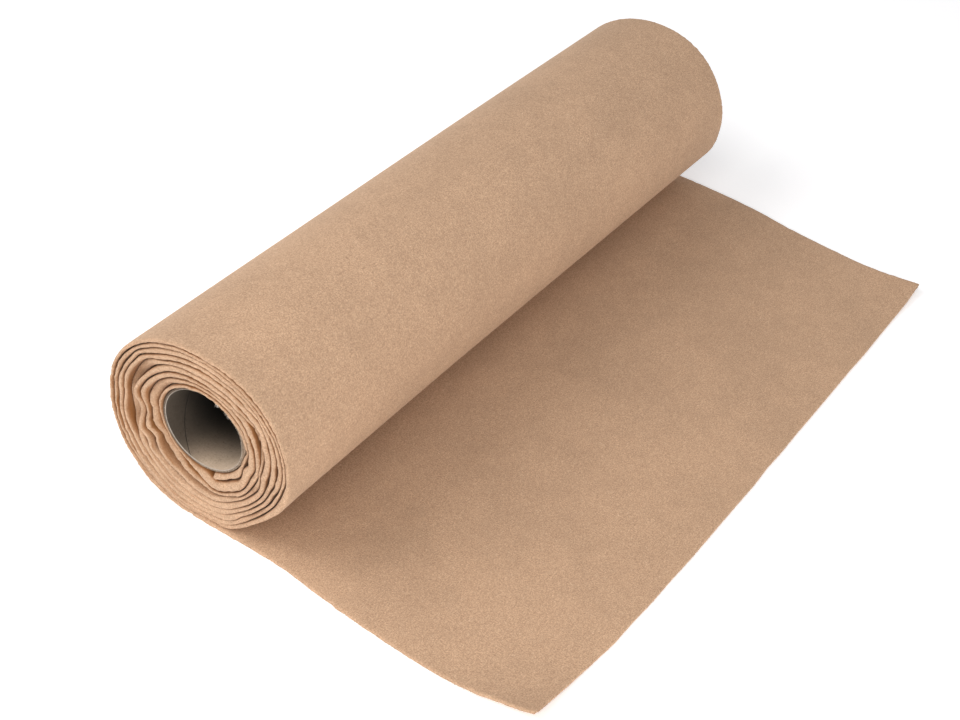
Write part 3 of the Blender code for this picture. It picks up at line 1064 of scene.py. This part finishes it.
def makePaperFluff():
    material, tree, shader = newMaterial("paperFluff", {"Roughness": 0.9})
    grain = placeGroup(tree, fibreGroup, Size=0.5, Streaks=0.5)["Grain"]
    color = addMix(tree, grain, board["fluffDark"], board["fluffLight"])
    feed(tree, color, shader.inputs["Base Color"])
    return material


def buildRimFluff(material):
    # torn paper fibres along the core's near rim
    b, w = board, winding
    rng = random.Random(fuzz["seed"] + 2)
    verts, faces = [], []
    for made in range(b["fluff"]):
        torn = rng.random() < b["tornShare"]
        angle = radians(rng.gauss(*rng.choice(b["tufts"]))) if torn else rng.uniform(-pi, pi)
        radius = b["inside"] + b["wall"] * rng.uniform(0.05, 0.6)
        x = w["coreX"] + radius * cos(angle)
        z = w["coreZ"] + radius * sin(angle)
        y = -loose["halfWidth"] + loose["skew"] * (x - w["rollX"]) + b["setBack"] + 0.0002
        inward = rng.uniform(0.2, 1.3) if torn else rng.uniform(-0.2, 0.3)
        aim = Vector((-inward * cos(angle) + rng.gauss(0, 0.3), -rng.uniform(0.3, 1.0),
                      -inward * sin(angle) + rng.gauss(0, 0.3)))
        length = rng.uniform(*(b["fluffLong"] if torn else b["fluffShort"]))
        addFibre(verts, faces, Vector((x, y, z)), aim, length, rng.uniform(*fuzz["width"]), rng)
    return linkMesh("rimFluff", verts, faces, material)


core = buildCore(makeBoard())
rimFluff = buildRimFluff(makePaperFluff())
for piece in (core, rimFluff):
    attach(piece, bodyName)
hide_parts("core_tube")
print("core made", len(core.data.polygons))


# camera, light and floor

view = {
    "azimuth": 30.65,
    "elevation": 40.18,
    "roll": 6.84,
    "distance": 0.9253,
    "lens": 63.9,
    "aim": (winding["rollX"] + 0.03617, -0.01957, 0.0),
}


def placeCamera():
    azimuth, elevation, roll = (radians(view[k]) for k in ("azimuth", "elevation", "roll"))
    back = Vector((sin(azimuth) * cos(elevation), -cos(azimuth) * cos(elevation), sin(elevation)))
    right = Vector((0, 0, 1)).cross(back).normalized()
    up = back.cross(right)
    tiltedRight = cos(roll) * right + sin(roll) * up
    tiltedUp = -sin(roll) * right + cos(roll) * up
    data = bpy.data.cameras.new("camera")
    data.lens = view["lens"]
    data.sensor_width = 36
    camera = linkObject("camera", data)
    turn = Matrix((tiltedRight, tiltedUp, back)).transposed().to_4x4()
    camera.matrix_world = Matrix.Translation(Vector(view["aim"]) + back * view["distance"]) @ turn
    bpy.context.scene.camera = camera


lamps = {                        # power, size, place and colour
    "frontLight": (5.5, 0.7, (0.25, -0.95, 0.95), (1.0, 0.985, 0.96)),
    "leftLight": (9.0, 0.8, (-0.75, -0.55, 0.85), (1.0, 0.99, 0.98)),
    "rightLight": (6.2, 0.5, (0.98, -0.66, 0.36), (1.0, 0.985, 0.96)),
}
studio = {
    "world": 0.43,
    "worldColor": (0.985, 0.98, 1.0),
    "floorColor": (0.95, 0.95, 0.96),
    "floorGlow": 0.30,
    "floorReach": 3.0,
}


def placeLights():
    for name, (power, size, at, color) in lamps.items():
        data = bpy.data.lights.new(name, "AREA")
        data.energy = power
        data.size = size
        data.color = color
        light = linkObject(name, data)
        light.location = at
        light.rotation_euler = (-Vector(at)).to_track_quat("-Z", "Y").to_euler()
    world = bpy.data.worlds.new("studio")
    world.use_nodes = True
    background = world.node_tree.nodes["Background"]
    background.inputs["Color"].default_value = (*studio["worldColor"], 1)
    background.inputs["Strength"].default_value = studio["world"]
    bpy.context.scene.world = world
    bpy.context.scene.view_settings.view_transform = "Standard"


def placeFloor():
    material, _, _ = newMaterial("paleFloor", {
        "Base Color": studio["floorColor"], "Roughness": 0.9,
        "Emission Color": (1.0, 1.0, 1.0), "Emission Strength": studio["floorGlow"]})
    reach = studio["floorReach"]
    corners = [(-reach, -reach, 0), (reach, -reach, 0), (reach, reach, 0), (-reach, reach, 0)]
    floor = linkMesh("floor", corners, [(0, 1, 2, 3)], material)


placeCamera()
placeLights()
placeFloor()
